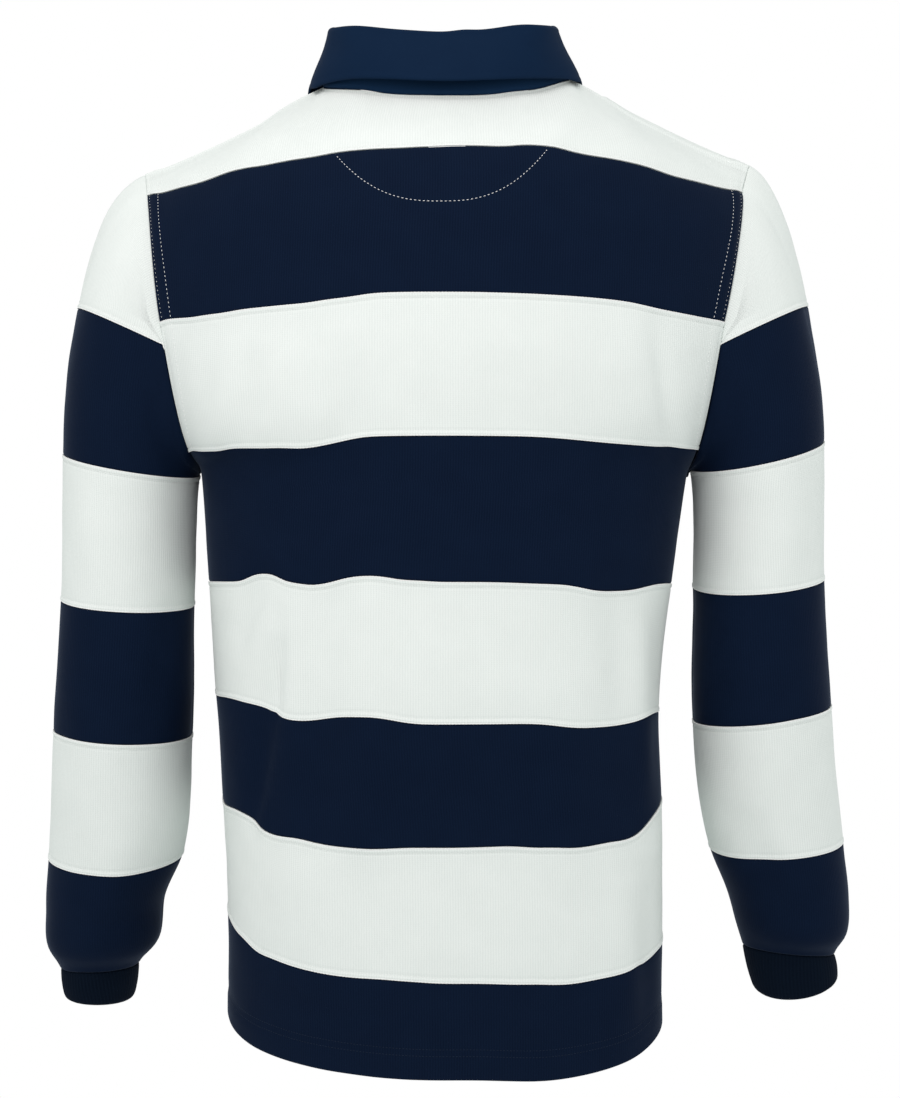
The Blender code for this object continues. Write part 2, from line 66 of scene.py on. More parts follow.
# The form of the body, in levels from the shoulders to the hem.
levels = ["top", "1", "2", "3", "arm", "4", "5", "6", "7", "hem"]
neck = {"half": 0.097, "back": (0.056, 0.021), "front": (-0.086, 0.066),  # how deep along Y, how far down
        "share": 0.5,  # of the half width that ends on the neckline
        "curve": 0.9, "shoulderBend": 0.25}
shoulderTip = {1: (0.2375, 0, -0.067), -1: (0.2375, 0.01, -0.0625)}
shoulderRoll = {1: (-0.022, -0.002), -1: (-0.018, 0.009)}  # the front rolls ahead of its seam: y, z
neckRise = [  # the top edge stands up beside the neck: x, width, how far
    (0.074, 0.026, 0.0034), (0.12, 0.02, 0.004), (-0.066, 0.026, 0.0026), (-0.108, 0.03, 0.0058),
    (-0.135, 0.05, 0.0035),
]
panelSide = {  # the armhole, then the side seam: half width, shift to +X, y back, y front, z at +X, z at -X
    "1": (0.229, 0.001, 0.03, -0.03, -0.0905, -0.088),
    "2": (0.2115, 0.0027, 0.062, -0.06, -0.1925, -0.1925),
    "3": (0.1945, 0.0017, 0.036, -0.04, -0.288, -0.286),
    "arm": (0.1905, 0.0015, 0, 0, -0.3, -0.305),
    "4": (0.1809, 0.0045, 0, 0, -0.388, -0.39),
    "5": (0.1729, 0.0067, 0, 0, -0.4735, -0.489),
    "6": (0.1707, 0.0036, 0, 0, -0.553, -0.553),
    "7": (0.1695, 0.0012, 0, 0, -0.641, -0.662),
    "hem": (0.1692, 0.0014, 0, 0, -0.721, -0.724),
}
backLine = {  # centre line: y, z, roundness towards +X and -X
    "1": (0.115, -0.074, 1.4, 1.3),
    "2": (0.134, -0.182, 1.35, 1.2),
    "3": (0.134, -0.283, 0.9, 0.9),
    "arm": (0.133, -0.299, 0.9, 0.9),
    "4": (0.128, -0.386, 0.85, 0.85),
    "5": (0.133, -0.486, 0.85, 0.72),
    "6": (0.122, -0.575, 0.85, 0.62),
    "7": (0.127, -0.67, 0.88, 0.62),
    "hem": (0.12, -0.741, 0.9, 0.66),
}
frontLine = {
    "1": (-0.106, -0.099, 0.95, 0.95),
    "2": (-0.126, -0.188, 0.85, 0.85),
    "3": (-0.129, -0.287, 0.8, 0.8),
    "arm": (-0.128, -0.301, 0.8, 0.8),
    "4": (-0.122, -0.388, 0.82, 0.82),
    "5": (-0.123, -0.488, 0.82, 0.82),
    "6": (-0.119, -0.576, 0.82, 0.82),
    "7": (-0.117, -0.67, 0.82, 0.82),
    "hem": (-0.112, -0.738, 0.82, 0.82),
}
edgeAngle = {"1": 62, "2": 66, "3": 80, "arm": 90}  # degrees round the arc where the panel ends
form = {
    "dip": 2, "waverEnds": 12,  # how late a seam drops, and its waver dies, towards the sides
    "cornerFrom": 0.85,  # columns beyond this turn a corner at the underarm
    "rollBlend": 0.1, "rollStart": 0.2, "rollSpan": 0.6,  # of the front shoulder roll
    "bowSkew": 0.6, "bowReach": 10,  # of the armhole's swell
}

# Where a seam line wavers with the folds that cross it: x, width, how far up.
backWaver = {
    "1": [(0.158, 0.034, -0.0034), (0.112, 0.028, -0.003), (0.202, 0.034, -0.005), (-0.068, 0.02, 0.0026),
          (0.055, 0.05, -0.0014), (-0.19, 0.036, -0.0052), (-0.144, 0.032, -0.002)],
    "2": [(0.127, 0.034, -0.0045), (0.177, 0.025, -0.004), (0.082, 0.024, -0.0024), (-0.174, 0.035, -0.0026)],
    "3": [(0.122, 0.046, -0.0058), (0.175, 0.015, -0.003), (0.089, 0.024, -0.0022), (-0.145, 0.06, -0.0032)],
    "4": [(0.133, 0.014, 0.0058), (0.062, 0.024, 0.0043), (0.088, 0.02, -0.0026), (0.031, 0.02, 0.0012),
          (-0.123, 0.028, -0.005), (-0.1, 0.05, -0.0016)],
    "5": [(0.15, 0.026, 0.0072), (0.062, 0.03, 0.005), (0.108, 0.046, -0.0021), (-0.11, 0.034, -0.0043),
          (-0.156, 0.014, 0.0022)],
    "6": [(0.152, 0.016, 0.0058), (0.13, 0.018, -0.0022), (0.07, 0.034, -0.0028), (-0.077, 0.024, -0.0028),
          (-0.121, 0.034, -0.0062), (-0.142, 0.018, -0.002), (-0.16, 0.0135, 0.0044)],
    "7": [(0.158, 0.018, 0.0062), (0.15, 0.016, -0.0036), (0.034, 0.024, 0.001), (-0.068, 0.034, -0.002),
          (-0.107, 0.036, -0.0036), (-0.152, 0.008, -0.0022)],
    "hem": [(0.158, 0.022, -0.0008), (-0.16, 0.022, 0.0002), (-0.1, 0.06, -0.005)],
}
frontWaver = {
    "3": [(-0.118, 0.036, -0.0042)],
    "4": [(-0.128, 0.018, 0.0046), (0.09, 0.028, -0.0036)],
    "5": [(-0.14, 0.024, 0.0052), (0.064, 0.034, 0.0034)],
    "6": [(-0.146, 0.02, 0.0044), (0.118, 0.03, -0.0042)],
    "7": [(0.15, 0.02, 0.0048)],
}
# Soft creases: x and z at the top, x and z at the bottom, half width, how far out.
backCreases = [
    (0.072, -0.212, 0.07, -0.35, 0.015, -0.0045), (0.152, -0.205, 0.166, -0.29, 0.011, 0.0022),
    (0.139, -0.215, 0.142, -0.3, 0.01, -0.002), (0.086, -0.365, 0.096, -0.59, 0.017, -0.004),
    (0.045, -0.36, 0.056, -0.6, 0.02, 0.0022), (0.132, -0.37, 0.16, -0.45, 0.01, -0.0037),
    (0.118, -0.42, 0.135, -0.56, 0.003, -0.002), (0.124, -0.425, 0.14, -0.56, 0.012, -0.005),
    (0.103, -0.54, 0.098, -0.69, 0.026, 0.003), (0.06, -0.56, 0.05, -0.7, 0.02, -0.002),
    (-0.123, -0.37, -0.13, -0.5, 0.015, -0.0037), (-0.146, -0.4, -0.15, -0.57, 0.011, 0.0032),
    (-0.08, -0.44, -0.092, -0.62, 0.022, 0.002), (-0.04, -0.22, -0.03, -0.36, 0.024, -0.0015),
    (-0.13, -0.19, -0.15, -0.3, 0.015, 0.002), (-0.15, -0.19, -0.17, -0.31, 0.008, -0.0032),
    (-0.104, 0.01, -0.08, -0.07, 0.01, 0.0018), (-0.128, -0.01, -0.104, -0.085, 0.016, -0.0028),
    (0.1245, -0.47, 0.137, -0.58, 0.0045, 0.0022), (0.119, -0.4, 0.124, -0.49, 0.0035, -0.0022),
    (0.133, -0.48, 0.144, -0.58, 0.009, -0.0034), (-0.158, -0.4, -0.164, -0.56, 0.012, -0.0036),
    (-0.157, -0.59, -0.158, -0.74, 0.018, -0.0062), (-0.134, -0.6, -0.136, -0.74, 0.016, 0.002),
]
frontCreases = [
    (-0.086, -0.24, -0.078, -0.4, 0.016, -0.0036), (0.1, -0.23, 0.086, -0.39, 0.015, 0.0028),
    (-0.128, -0.38, -0.146, -0.56, 0.013, -0.0042), (0.066, -0.39, 0.076, -0.6, 0.019, -0.003),
    (0.128, -0.42, 0.14, -0.64, 0.016, 0.0032), (-0.06, -0.47, -0.052, -0.66, 0.024, 0.0022),
    (0.01, -0.3, 0.018, -0.48, 0.026, -0.0016),
]
# Round a sleeve: degrees and z at the top, degrees and z at the bottom, half width in degrees, how far out.
sleeveCreases = {
    1: [(98, -0.215, 150, -0.32, 13, -0.0028), (128, -0.225, 172, -0.3, 9, 0.0022),
        (60, -0.29, 72, -0.42, 18, 0.0012), (140, -0.4, 118, -0.52, 16, -0.0018),
        (40, -0.47, 56, -0.64, 20, -0.0014), (108, -0.56, 96, -0.69, 18, 0.002),
        (250, -0.23, 214, -0.33, 14, -0.003), (286, -0.33, 262, -0.52, 20, 0.002),
        (230, -0.46, 250, -0.64, 16, -0.0024), (330, -0.54, 318, -0.69, 18, 0.0016)],
    -1: [(102, -0.205, 152, -0.31, 13, -0.0026), (130, -0.215, 170, -0.29, 9, 0.002),
         (48, -0.3, 66, -0.43, 18, -0.0012), (132, -0.38, 112, -0.5, 17, 0.0016),
         (70, -0.46, 84, -0.6, 18, -0.0014), (120, -0.56, 104, -0.68, 16, -0.002),
         (246, -0.22, 212, -0.33, 14, -0.0028), (280, -0.34, 266, -0.5, 20, 0.0018),
         (236, -0.44, 256, -0.62, 17, -0.0022), (326, -0.52, 312, -0.68, 18, 0.0018)],
}

# The form of the sleeves: seams B to E, the forearm, the fullest ring, the cuff join and the cuff's end:
# outer x, inner x, y of the middle, half depth, z at the outer side, z at the inner side, z at the back
sleeveRings = {
    1: {
        "B": (0.3015, 0.1955, -0.002, 0.058, -0.2865, -0.3055, -0.303),
        "C": (0.303, 0.1998, -0.004, 0.058, -0.4005, -0.408, -0.41),
        "D": (0.3108, 0.203, -0.01, 0.058, -0.504, -0.5112, -0.5108),
        "E": (0.3172, 0.212, -0.02, 0.055, -0.606, -0.6085, -0.613),
        "fore": (0.3212, 0.2278, -0.027, 0.053, -0.649, -0.645, -0.651),
        "full": (0.3212, 0.234, -0.033, 0.05, -0.68, -0.68, -0.681),
        "join": (0.312, 0.2505, -0.036, 0.036, -0.701, -0.7, -0.698),
        "end": (0.31, 0.256, -0.042, 0.034, -0.727, -0.73, -0.7265),
    },
    -1: {
        "B": (0.2975, 0.193, -0.002, 0.058, -0.2758, -0.3, -0.2975),
        "C": (0.298, 0.1965, -0.004, 0.058, -0.3838, -0.394, -0.3962),
        "D": (0.3045, 0.197, -0.008, 0.058, -0.4845, -0.4995, -0.4945),
        "E": (0.316, 0.2118, -0.016, 0.055, -0.593, -0.602, -0.6),
        "fore": (0.3222, 0.2268, -0.023, 0.053, -0.638, -0.638, -0.64),
        "full": (0.3222, 0.235, -0.029, 0.05, -0.669, -0.666, -0.668),
        "join": (0.314, 0.241, -0.032, 0.036, -0.69, -0.684, -0.683),
        "end": (0.318, 0.251, -0.038, 0.034, -0.709, -0.721, -0.72),
    },
}
armholeSwell = {1: 0, -1: 0.0036}  # the armhole's edge bows out below the shoulder
capSeam = {1: (-0.2085, -0.168), -1: (-0.208, -0.1655)}  # z at the armhole, z at the outer side
capCurve = {1: (0.2, 0.36), -1: (0.255, 0.32)}  # how the cap turns down the arm: less is flatter
sleeve = {"around": 120, "sampled": 6}  # columns from the underarm seam; every sixth is measured
capShape = {"out": (0.3, 0.64), "back": 0.1, "down": (-0.95, 0.61),  # the way it leaves the armhole
            "reach": 0.42, "least": 0.0005, "flow": 0.9, "past": 0.2,
            "halvings": 40}  # steps to find where the cap's seam crosses each column


def travelAlong(line):
    return np.r_[0, np.cumsum(np.linalg.norm(np.diff(line, axis=0), axis=1))]


def between(x, knots, line):
    # the place at x on a line whose points lie at the knots
    return np.stack([np.interp(x, knots, line[:, i]) for i in range(3)], -1)


def smoothSpans(points, slopesOut=None, slopesIn=None, counts=None):
    # one smooth curve through the points, as a dense line for each span
    points = np.array(points, float)
    knots = travelAlong(points)
    slope = np.gradient(points, knots, axis=0)
    slopesOut = slope if slopesOut is None else slopesOut
    slopesIn = slope if slopesIn is None else slopesIn
    spans = []
    for i in range(len(points) - 1):
        t = np.linspace(0, 1, (counts[i] if counts else cloth["samples"]) + 1)[:, None]
        gap = knots[i + 1] - knots[i]
        spans.append((2 * t**3 - 3 * t**2 + 1) * points[i] + (t**3 - 2 * t**2 + t) * gap * slopesOut[i]
                     + (3 * t**2 - 2 * t**3) * points[i + 1] + (t**3 - t**2) * gap * slopesIn[i + 1])
    return spans


def splitSlopes(points, at):
    # slopes of the two curves that meet at one point, each on its own
    def slopes(part):
        return np.gradient(part, travelAlong(part), axis=0)
    points = np.array(points, float)
    first, second = slopes(points[:at + 1]), slopes(points[at:])
    return np.vstack([first[:-1], second]), np.vstack([first, second[1:]])


def smoothStep(value, low, high):
    t = min(max((value - low) / (high - low), 0), 1)
    return t * t * (3 - 2 * t)


def topEdge(s, back):
    # neckline, then shoulder seam; s runs from -1 at the wearer's right to 1
    side, n = math.copysign(1, s), abs(s) / neck["share"]
    if n <= 1:
        a = math.pi / 2 * n
        depth, drop = neck["back" if back else "front"]
        curve = max(math.cos(a), 0) ** neck["curve"]
        x, y, z = side * neck["half"] * math.sin(a), depth * curve, -drop * curve
    else:
        q = (n - 1) / (1 / neck["share"] - 1)
        (tip, y, z), bend = shoulderTip[side], neck["shoulderBend"]
        x, y, z = side * (neck["half"] + (tip - neck["half"]) * q), y * q, z * ((1 + bend) * q - bend * q**2)
    return (x, y, z + sum(up * math.exp(-abs((x - at) / width) ** 3) for at, width, up in neckRise))


def sideEdge(level, side, back):
    half, shift, yBack, yFront, zLeft, zRight = panelSide[level]
    return (shift + side * half, yBack if back else yFront, zLeft if side > 0 else zRight)


def levelPoint(level, s, back):
    if level == "top":
        return topEdge(s, back)
    yMid, zMid, roundLeft, roundRight = (backLine if back else frontLine)[level]
    fullness = roundLeft if s > 0 else roundRight
    x1, y1, z1 = sideEdge(level, math.copysign(1, s), back)
    if abs(s) > 1 - 1e-9:
        return (x1, y1, z1)
    shift = (sideEdge(level, 1, back)[0] + sideEdge(level, -1, back)[0]) / 2
    end = math.radians(edgeAngle.get(level, 90))
    low = math.cos(end) ** fullness if end < math.pi / 2 - 1e-6 else 0
    rise = (math.cos(s * end) ** fullness - low) / (1 - low)
    x = shift + (x1 - shift) * math.sin(abs(s) * end) / math.sin(end)
    z = zMid + (z1 - zMid) * abs(s) ** form["dip"]
    for place, width, up in (backWaver if back else frontWaver).get(level, []):
        z += up * math.exp(-abs((x - place) / width) ** 3) * (1 - abs(s) ** form["waverEnds"])
    return (x, y1 + (yMid - y1) * rise, z)


def bodyColumn(s, back):
    # dense lines down one column, one for each band
    points = [levelPoint(level, s, back) for level in levels]
    first = smoothSpans(points)[0]
    if not back:
        middle = first[len(first) // 2]
        if abs(s) > neck["share"]:
            q = (abs(s) - neck["share"]) / (1 - neck["share"])
            ahead, up = shoulderRoll[math.copysign(1, s)]
            up *= math.sin(math.pi * (form["rollStart"] + form["rollSpan"] * q))
            roll = np.array(points[0]) + (0, ahead, up)
            blend = smoothStep(abs(s), neck["share"], neck["share"] + form["rollBlend"])
            middle = middle + (roll - middle) * blend
        points = [points[0], middle, *points[1:]]
    arm = len(points) - 6
    slope = np.gradient(np.array(points, float), travelAlong(points), axis=0)
    goOut, goIn = splitSlopes(points, arm)
    w = smoothStep(abs(s), form["cornerFrom"], 1)
    spans = smoothSpans(points, slope + (goOut - slope) * w, slope + (goIn - slope) * w)
    if not back:
        spans = [np.vstack([spans[0], spans[1][1:]]), *spans[2:]]
    bow = np.sin(math.pi * np.linspace(0, 1, len(spans[1])) ** form["bowSkew"]) * abs(s) ** form["bowReach"]
    spans[1][:, 0] += math.copysign(armholeSwell[math.copysign(1, s)], s) * bow
    return [*spans[:3], np.vstack([spans[3], spans[4][1:]]), *spans[5:]]


def gridLines(length, usual):
    # distances along a line of that length, close together beside both ends
    near = np.array(cloth["borderLines"])
    count = max(2, round((usual - 2 * near[-1]) / cloth["step"]))
    near = near * min(1, length / (cloth["squeezeBelow"] * near[-1]))
    middle = np.linspace(near[-1], length - near[-1], count + 1)[1:-1]
    return np.concatenate([near, middle, length - near[::-1]])


def lengthOf(line):
    return travelAlong(line)[-1]


def spread(lines, usual):
    # points along each line, at the same distances from its two ends on all of them
    return np.array([between(gridLines(lengthOf(line), usual), travelAlong(line), line) for line in lines])


def normalsOf(grid, around=False):
    if around:
        wide = np.concatenate([grid[:, -3:-1], grid, grid[:, 1:3]], 1)
        across = np.gradient(wide, axis=1)[:, 2:-2]
    else:
        across = np.gradient(grid, axis=1)
    down = np.gradient(grid, axis=0)
    normal = np.cross(down, across)
    size = np.linalg.norm(normal, axis=2, keepdims=True)
    return np.where(size > 1e-12, normal / np.maximum(size, 1e-12), 0)


def travelOver(grid):
    # distance of each point along its row
    over = np.linalg.norm(np.diff(grid, axis=1), axis=2)
    return np.hstack([np.zeros((len(grid), 1)), np.cumsum(over, 1)])


def borderDistance(grid):
    # distance of each point from the first row, last row, first column and last column
    gap = cloth["seamGap"]
    top, left = travelOver(grid.transpose(1, 0, 2)).T + gap, travelOver(grid) + gap
    return top, top[-1:] + gap - top, left, left[:, -1:] + gap - left


# How a border lies: distance from it and how far out of the panel, as a line of places.
borders = {
    "puffed": [(0, -0.0004), (0.0006, 0.0003), (0.0013, 0.0006), (0.0021, 0.0006), (0.003, 0.0002),
               (0.004, -0.0003), (0.0052, 0.0001), (0.0068, 0)],
    "tucked": [(0, -0.0007), (0.0006, -0.0004), (0.0013, -0.0001), (0.0021, 0)],
    "topstitched": [(0, -0.0001), (0.0008, 0.0006), (0.0021, 0.0007), (0.003, 0.0005), (0.0036, 0.0003),
                    (0.0052, 0.0008), (0.012, 0.0008), (0.0135, 0.0003), (0.015, 0.0001), (0.018, 0)],
    "hemmed": [(0, -0.0006), (0.0008, 0.0002), (0.002, 0.0005), (0.015, 0.0005), (0.0185, -0.0002),
               (0.0205, 0.0002), (0.0235, -0.0003), (0.0265, 0)],
    "eased": [(0, -0.0002), (0.0012, 0)],
}


def profile(places, distance):
    places = np.array(places)
    return np.interp(distance, places[:, 0], places[:, 1])


def borderLift(kind, distance):
    return profile(borders[kind], distance)


def creaseLift(across, z, creases):
    total = np.zeros_like(z)
    for a0, z0, a1, z1, width, out in creases:
        share = np.clip((z - z0) / (z1 - z0), 0, 1)
        off = (across - a0 - (a1 - a0) * share) / width
        total += out * np.exp(-off**2) * np.sin(math.pi * share) ** cloth["creaseEnds"]
    return total


def ripple(points):
    # the cloth's own slight unevenness
    lift = [sum(noise.noise(Vector(p) * fine) * high for fine, high in cloth["uneven"])
            for p in points.reshape(-1, 3)]
    return np.array(lift).reshape(points.shape[:2])


madeSheets = {}


def meshOf(bm, name):
    mesh = bpy.data.meshes.new(name)
    bm.to_mesh(mesh)
    bm.free()
    return mesh


def placed(name, data):
    made = bpy.data.objects.new(name, data)
    bpy.context.scene.collection.objects.link(made)
    return made


def clothPiece(name, node, finish, made, outward, wall, weld=False, slot=None):
    # a fine grid moved onto the form, its wall turned inwards
    grid, cut = made["points"], made["cut"]
    rows, columns = grid.shape[:2]
    bm = bmesh.new()
    cutLayer = bm.loops.layers.uv.new("cut")
    bmesh.ops.create_grid(bm, x_segments=columns - 1, y_segments=rows - 1, size=0.5)
    for v in bm.verts:
        spot = (round((0.5 - v.co.y) * (rows - 1)), round((v.co.x + 0.5) * (columns - 1)))
        v.co = grid[spot]
        for loop in v.link_loops:
            loop[cutLayer].uv = cut[spot]
    if outward < 0:
        bmesh.ops.reverse_faces(bm, faces=bm.faces)
    if weld:
        bmesh.ops.remove_doubles(bm, verts=bm.verts, dist=cloth["weld"])
    bmesh.ops.dissolve_degenerate(bm, edges=bm.edges, dist=cloth["tiny"])
    area = sum(f.calc_area() for f in bm.faces)
    mesh = meshOf(bm, name)
    mesh.shade_smooth()
    piece = placed(name, mesh)
    shell = piece.modifiers.new("wall", "SOLIDIFY")
    shell.thickness, shell.offset = wall, -1
    width, length = (float(cut[..., i].max() - cut[..., i].min()) for i in (0, 1))
    mesh.materials.append(finishes[finish])
    madeSheets[name] = {"piece": piece, "flat": (width, length), "area": min(area, width * length),
                        "node": node, "slot": slot or finish}


def cutMap(grid, startDown=0):
    # the flat cut in metres: across from the middle, and down
    left = travelOver(grid)
    down = np.linalg.norm(np.diff(grid, axis=0), axis=2).mean(1)
    depth = startDown + np.r_[0, np.cumsum(down)]
    return np.stack([left - left[:, -1:] / 2, np.repeat(-depth[:, None], grid.shape[1], 1)], 2)


def raised(grid, normal, lift, startDown=0):
    return {"points": grid + normal * lift[..., None], "cut": cutMap(grid, startDown), "normal": normal}


knit = {  # shared by every knit and twill
    "sheenRough": 0.3, "waleDistortion": 0.8, "loopDistortion": 1.4, "fuzz": (900, 2), "patches": (38, 4),
    "fuzzShare": 0.45, "patchShare": 0.35, "fuzzRelief": 0.25, "tones": (0.25, 0.75),
    "wave": {"Detail": 1, "Detail Scale": 0.6},
}


class Finish:
    # a material with its shader, and the nodes that colour and raise it
    def __init__(self, name, look):
        self.made = bpy.data.materials.new(name)
        self.made.use_nodes = True
        self.nodes, self.links = self.made.node_tree.nodes, self.made.node_tree.links
        self.shader = self.nodes["Principled BSDF"]
        self.look = look
        self.set(self.shader, {"Roughness": look["rough"], "Specular IOR Level": look["shine"]})

    def set(self, node, values):
        for socket, value in values.items():
            node.inputs[socket].default_value = value

    def texture(self, kind, place, values, direction=None):
        made = self.nodes.new(kind)
        if direction:
            made.bands_direction = direction
        self.set(made, values)
        self.links.new(place, made.inputs["Vector"])
        return made.outputs["Fac"]

    def mix(self, first, second, share):
        made = self.nodes.new("ShaderNodeMix")
        made.inputs["Factor"].default_value = share
        self.links.new(first, made.inputs[2])
        self.links.new(second, made.inputs[3])
        return made.outputs[0]

    def colour(self, tone, low, high):
        ramp = self.nodes.new("ShaderNodeValToRGB")
        for i, (position, shade) in enumerate(((low, "deep"), (high, "face"))):
            stop = ramp.color_ramp.elements[i]
            stop.position, stop.color = position, (*self.look[shade], 1)
        self.links.new(tone, ramp.inputs["Fac"])
        self.links.new(ramp.outputs["Color"], self.shader.inputs["Base Color"])

    def relief(self, height, strength):
        made = self.nodes.new("ShaderNodeBump")
        self.set(made, {"Strength": strength, "Distance": self.look["depth"]})
        self.links.new(height, made.inputs["Height"])
        self.links.new(made.outputs["Normal"], self.shader.inputs["Normal"])


def knitFinish(name, look):
    # wales run down the cut and rows of loops run across it
    finish = Finish(name, look)
    finish.set(finish.shader, {"Sheen Weight": look["sheen"], "Sheen Roughness": knit["sheenRough"],
                               "Sheen Tint": look["sheenTint"]})
    cut = finish.nodes.new("ShaderNodeUVMap")
    cut.uv_map = "cut"

    def wave(direction, pitch, distortion):
        return finish.texture("ShaderNodeTexWave", cut.outputs["UV"], {
            "Scale": math.pi / 10 / pitch, "Distortion": distortion, **knit["wave"]}, direction)

    def specks(scale, detail):
        return finish.texture("ShaderNodeTexNoise", cut.outputs["UV"], {"Scale": scale, "Detail": detail})

    wales = wave("X", look["wale"], knit["waleDistortion"])
    height = finish.mix(wales, wave("Y", look["loop"], knit["loopDistortion"]), look["loopShare"])
    fuzz = specks(*knit["fuzz"])
    tone = finish.mix(wales, fuzz, knit["fuzzShare"])
    tone = finish.mix(tone, specks(*knit["patches"]), knit["patchShare"])
    finish.colour(tone, *knit["tones"])
    finish.relief(finish.mix(height, fuzz, knit["fuzzRelief"]), look["relief"])
    return finish.made


plain = {"tones": (0.3, 0.7), "relief": 0.3}


def plainFinish(name, look):
    # thread and rubber: one colour with a fine mottle
    finish = Finish(name, look)
    place = finish.nodes.new("ShaderNodeTexCoord")
    mottle = finish.texture("ShaderNodeTexNoise", place.outputs["Object"], {"Scale": look["grain"]})
    finish.colour(mottle, *plain["tones"])
    finish.relief(mottle, plain["relief"])
    return finish.made


twill = {"rough": 0.75, "shine": 0.04, "sheen": 0.012, "sheenTint": (0.55, 0.75, 1, 1), "wale": 0.0009,
         "loop": 0.0011, "loopShare": 0.5, "relief": 0.25, "depth": 0.0001}
finishes = {
    "white_knit": knitFinish("whiteKnit", {
        "face": (0.834, 0.889, 0.857), "deep": (0.755, 0.812, 0.78), "rough": 0.9, "shine": 0.15,
        "sheen": 0.05, "sheenTint": (1, 1, 1, 1), "wale": 0.0019, "loop": 0.0014, "loopShare": 0.3,
        "relief": 0.55, "depth": 0.00035}),
    "navy_knit": knitFinish("navyKnit", {
        "face": (0.004, 0.0108, 0.03), "deep": (0.0026, 0.0074, 0.0218), "rough": 0.8, "shine": 0.04,
        "sheen": 0.12, "sheenTint": (0.6, 0.75, 1, 1), "wale": 0.0019, "loop": 0.0014, "loopShare": 0.3,
        "relief": 0.4, "depth": 0.00025}),
    "navy_rib": knitFinish("navyRib", {
        "face": (0.0036, 0.0078, 0.0165), "deep": (0.0022, 0.0052, 0.012), "rough": 0.85, "shine": 0.03,
        "sheen": 0.02, "sheenTint": (0.55, 0.7, 1, 1), "wale": 0.0028, "loop": 0.0013, "loopShare": 0.6,
        "relief": 0.4, "depth": 0.0002}),
    "navy_twill": knitFinish("navyTwill", {
        **twill, "face": (0.0048, 0.0178, 0.048), "deep": (0.0036, 0.014, 0.039)}),
    "standTwillPaintedLight": knitFinish("standTwillPaintedLight", {  # the stand is the same twill painted lighter: painted light that lifts the shade under the leaf
        **twill, "face": (0.008, 0.029, 0.074), "deep": (0.006, 0.023, 0.06)}),
    # white thread, brighter than the white knit; along the seams' edge cord it is partly painted highlight
    "whiteThread": plainFinish("whiteThread", {
        "face": (0.95, 0.96, 0.95), "deep": (0.88, 0.9, 0.88), "rough": 0.6, "shine": 0.3,
        "grain": 1500, "depth": 0.0001}),
    "navyThread": plainFinish("navyThread", {
        "face": (0.01, 0.022, 0.05), "deep": (0.006, 0.013, 0.03), "rough": 0.6, "shine": 0.2,
        "grain": 1500, "depth": 0.0001}),
    "rubber": plainFinish("mouldedRubber", {
        "face": (0.8, 0.8, 0.76), "deep": (0.76, 0.76, 0.72), "rough": 0.5, "shine": 0.4,
        "grain": 700, "depth": 0.00005}),
}

body = {"bands": 8, "across": 0.5, "columns": 97, "sampled": 8, "creaseTurn": 1.4, "edgeFade": 0.02,
        "flip": 0.2}  # past this, a normal that points inwards is turned


def bodyGrids(back):
    columns = [bodyColumn(s, back) for s in np.linspace(-1, 1, body["columns"])]
    creases, out = (backCreases, 1) if back else (frontCreases, -1)
    grids, down = [], 0
    for number in range(body["bands"]):
        lines = [column[number] for column in columns]
        usual = max(lengthOf(line) for line in lines[::body["sampled"]])
        grid = spread(spread(lines, usual).transpose(1, 0, 2), body["across"])
        normal = normalsOf(grid) * -out
        normal = np.where(normal[..., 1:2] * out < -body["flip"], -normal, normal)
        top, bottom, right, left = borderDistance(grid)
        lift = creaseLift(grid[..., 0], grid[..., 2], creases)
        lift *= np.clip(np.abs(normal[..., 1]) * body["creaseTurn"], 0, 1)
        lift += ripple(grid)
        lift *= np.clip(np.minimum(left, right) / body["edgeFade"], 0, 1)
        kind = "tucked" if number % 2 else "puffed"
        lift += borderLift("tucked" if number == 0 and not back else kind, top)
        lift += borderLift("hemmed" if number == body["bands"] - 1 else kind, bottom)
        side = "topstitched" if number < 3 else "tucked"
        lift += borderLift(side, left) + borderLift(side, right)
        grids.append(raised(grid, normal, lift, down))
        down += usual
    return grids


backGrids, frontGrids = bodyGrids(True), bodyGrids(False)
for word, grids, facing in (("back", backGrids, -1), ("front", frontGrids, 1)):
    for number, made in enumerate(grids, 1):
        kind = "white_knit" if number % 2 else "navy_knit"
        clothPiece(f"{word}Band{number}", f"{word}_{number}", kind, made, facing, cloth["wall"])
print("front and back made:", len(madeSheets), "bands")


def sleeveRing(row, angles, side):
    outX, inX, y, depth, zOut, zIn, zBack = row
    x = (outX + inX) / 2 + (outX - inX) / 2 * np.cos(angles)
    zMid = (zOut + zIn) / 2
    z = zMid + (zOut - zIn) / 2 * np.cos(angles) + (zBack - zMid) * np.sin(angles)
    return np.stack([side * x, y + depth * np.sin(angles), z], 1)


def armholeLine(side, angles):
    # the body's armhole edge, by the angle round the sleeve: 0 is the shoulder tip, 180 the underarm
    lines = []
    for back in (True, False):
        spans = bodyColumn(side, back)
        half = len(spans[3]) // 2 + 1
        lines.append(np.vstack([spans[0], spans[1][1:], spans[2][1:], spans[3][1:half]]))
    loop = np.vstack([lines[0], lines[1][::-1][1:]])
    travel = travelAlong(loop)
    under = travel[len(lines[0]) - 1]
    turned = np.where(travel <= under, math.pi * travel / under,
                      math.pi * (1 + (travel - under) / (travel[-1] - under)))
    return between(np.mod(angles, 2 * math.pi), turned, loop)


